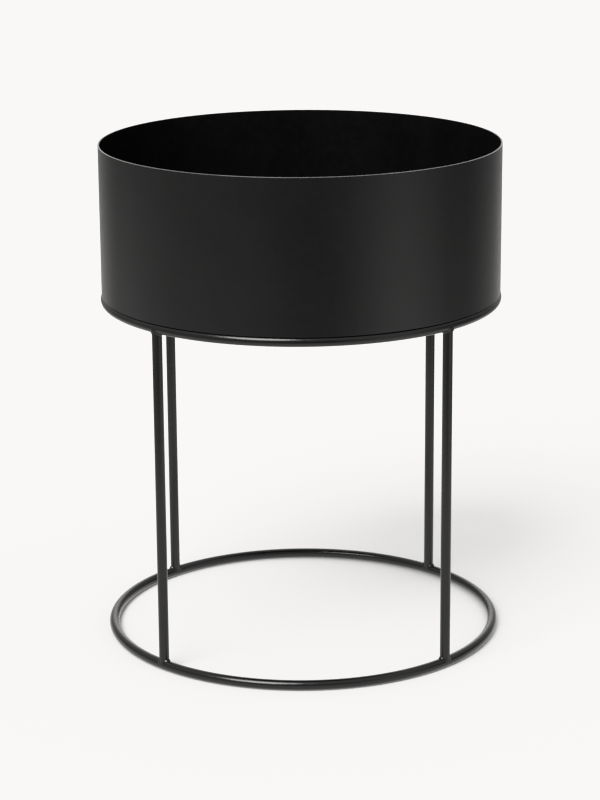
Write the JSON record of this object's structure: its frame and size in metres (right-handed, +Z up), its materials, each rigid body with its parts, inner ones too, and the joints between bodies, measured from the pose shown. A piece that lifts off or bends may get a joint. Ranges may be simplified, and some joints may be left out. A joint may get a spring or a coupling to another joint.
{
  "type": "round planter on wire stand",
  "caption": "Round planter: a short open sheet-steel drum, black powder coated, on a welded stand of two round-bar rings joined by upright round bars.",
  "frame": {"origin": "on the floor, at the middle of the base ring", "axes": "+Z up along the drum's axis, -Y towards the front, with the wall's seam at the back (+Y)"},
  "size_m": [0.3999, 0.4, 0.5],
  "materials": {
    "drum_coat": "fine-textured satin black powder coat",
    "stand_coat": "fine-textured satin black powder coat",
    "black_oxide": "black oxide, oiled",
    "seal_rubber": "matte moulded",
    "zinc_plate": "bright zinc plate"
  },
  "bodies": {
    "root": {"drum_wall": "drum_coat", "wall_seam_weld": "drum_coat", "drum_floor": "drum_coat", "floor_weld": "drum_coat", "top_ring": "stand_coat", "base_ring": "stand_coat", "leg_back_right": "stand_coat", "leg_back_left": "stand_coat", "leg_front_left": "stand_coat", "leg_front_right": "stand_coat", "leg_welds_top": "stand_coat", "leg_welds_base": "stand_coat", "tab_right": "stand_coat", "tab_back": "stand_coat", "tab_left": "stand_coat", "tab_front": "stand_coat", "tab_welds": "stand_coat", "fixing_screws": "black_oxide", "sealing_washers": "seal_rubber", "steel_washers": "zinc_plate", "fixing_nuts": "zinc_plate"}
  },
  "joints": []
}
